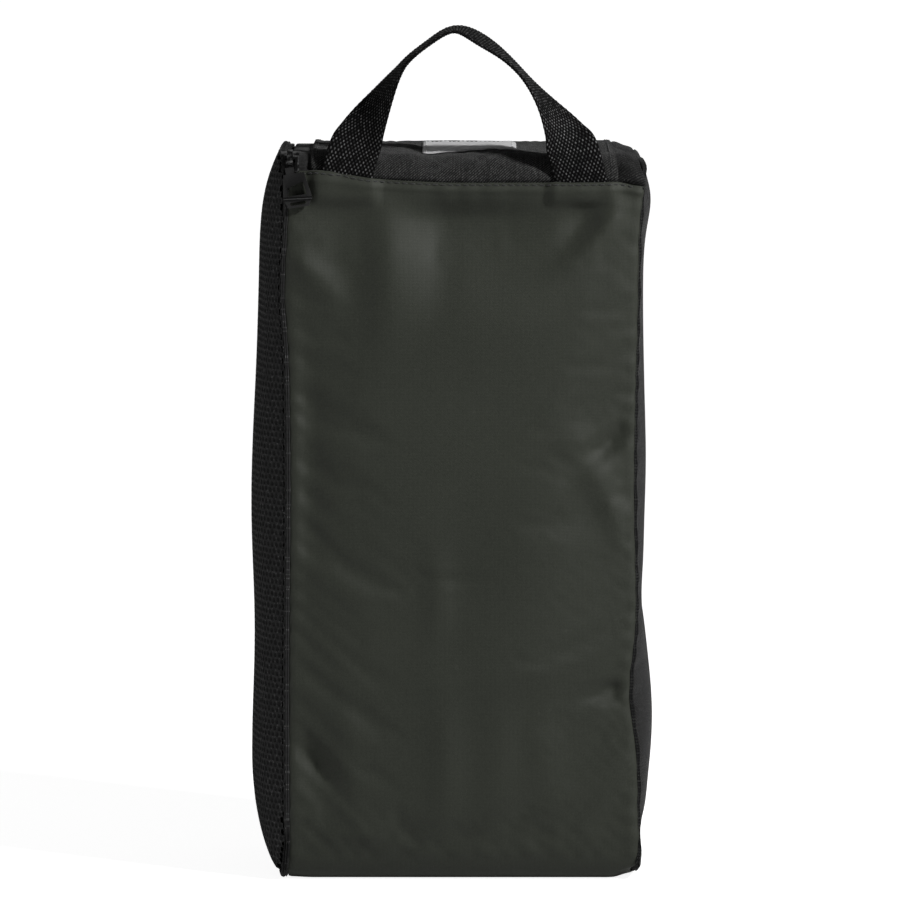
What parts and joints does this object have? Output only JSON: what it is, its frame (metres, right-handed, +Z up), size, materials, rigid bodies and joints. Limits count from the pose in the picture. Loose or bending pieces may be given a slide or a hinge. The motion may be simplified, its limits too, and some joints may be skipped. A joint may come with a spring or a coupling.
{
  "type": "golf shoe bag",
  "caption": "Upright woven golf shoe bag with a coated front panel, a mesh side door closed by a zip, and a twisted webbing carry handle.",
  "frame": {"origin": "centre of the base's resting face", "axes": "+X to the right as the coated front is seen, +Y from the front to the back, +Z up towards the handle"},
  "size_m": [0.1968, 0.1316, 0.4186],
  "materials": {
    "coated_cloth": "olive grey coated plain weave with a soft sheen",
    "woven_cloth": "black and grey heather weave, matt",
    "spacer_mesh": "black knitted spacer mesh with staggered holes",
    "webbing": "black ribbed polyester webbing with bright flecks",
    "binding_tape": "black grosgrain binding",
    "label_cloth": "pale satin weave, blank",
    "thread": "twisted polyester thread",
    "zip_tape": "black knitted zip tape",
    "zip_coil": "black nylon coil",
    "slider_metal": "black painted die-cast zinc, bright on worn edges",
    "pull_plastic": "black moulded plastic, fine grain"
  },
  "bodies": {
    "bag_body": {"front_base_panel": "coated_cloth", "back_panel": "woven_cloth", "top_panel": "woven_cloth", "top_side_strip": "woven_cloth", "right_gusset": "woven_cloth", "right_seam_binding": "binding_tape", "front_seam_binding": "binding_tape", "back_upper_binding": "binding_tape", "back_lower_binding": "binding_tape", "hinge_binding": "binding_tape", "care_label": "label_cloth", "blank_patch": "label_cloth", "front_topstitch": "thread", "handle_feet": "webbing", "zip_tape_body": "zip_tape", "zip_coil_body": "zip_coil", "zip_top_stop": "zip_coil", "zip_bottom_stop": "zip_coil"},
    "mesh_door": {"mesh_panel": "spacer_mesh", "door_binding": "binding_tape", "zip_tape_door": "zip_tape", "zip_coil_door": "zip_coil"},
    "handle": {"handle_webbing": "webbing"},
    "zip_slider": {"slider_body": "slider_metal", "slider_bail": "slider_metal"},
    "zip_pull": {"pull_link": "slider_metal", "pull_tab": "pull_plastic", "pull_crossbar": "slider_metal"}
  },
  "joints": [
    {"name": "door_open", "type": "hinge", "parent": "bag_body", "child": "mesh_door", "pos_m": [-0.0872, -0.0623, 0.18], "axis": [0, 0, 1], "range_deg": [0, 90]},
    {"name": "handle_fold", "type": "hinge", "parent": "bag_body", "child": "handle", "pos_m": [0, -0.0648, 0.354], "axis": [1, 0, 0], "range_deg": [-38, 168], "stiffness_Nm_per_rad": 0.02},
    {"name": "zip_travel", "type": "hinge", "parent": "bag_body", "child": "zip_slider", "pos_m": [-0.084, -0.047, 0.343], "axis": [-1, 0, 0], "range_deg": [0, 55]},
    {"name": "pull_swing", "type": "hinge", "parent": "zip_slider", "child": "zip_pull", "pos_m": [-0.084, -0.06215, 0.35361], "axis": [-1, 0, 0], "range_deg": [0, 160]}
  ]
}
